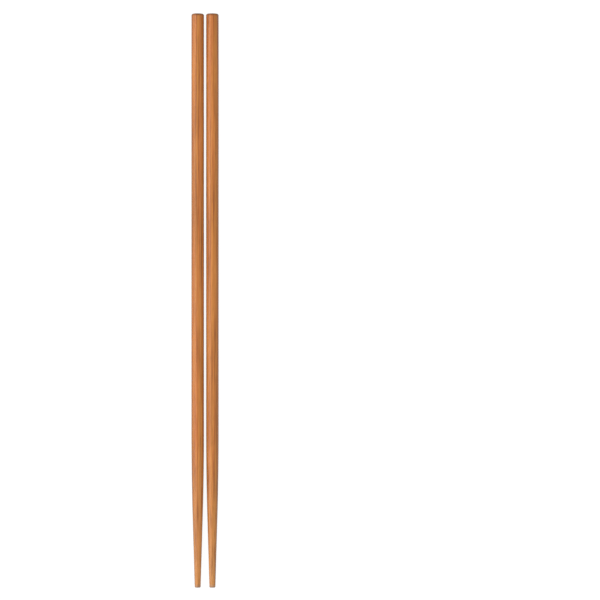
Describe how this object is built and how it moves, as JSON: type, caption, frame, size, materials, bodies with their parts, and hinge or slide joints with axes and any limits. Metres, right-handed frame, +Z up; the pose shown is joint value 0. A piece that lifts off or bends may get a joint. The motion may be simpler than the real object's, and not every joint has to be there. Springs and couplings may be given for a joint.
{
  "type": "pair of chopsticks",
  "caption": "Round bamboo chopsticks lying side by side, each with a straight grip that narrows through a long soft shoulder to a slim blunt tip, with broken edges at both ends.",
  "frame": {"origin": "on the table that the pair lies on, under the middle of its bounding box", "axes": "+Y along the chopsticks from the tips to the butts, +X across the pair from the left one to the right one, +Z up from the table"},
  "size_m": [0.0114, 0.24, 0.0053],
  "materials": {
    "bamboo": "satin, steamed to a warm brown, fine straight grain"
  },
  "bodies": {
    "root": {"left_chopstick": "bamboo", "right_chopstick": "bamboo"}
  },
  "joints": []
}
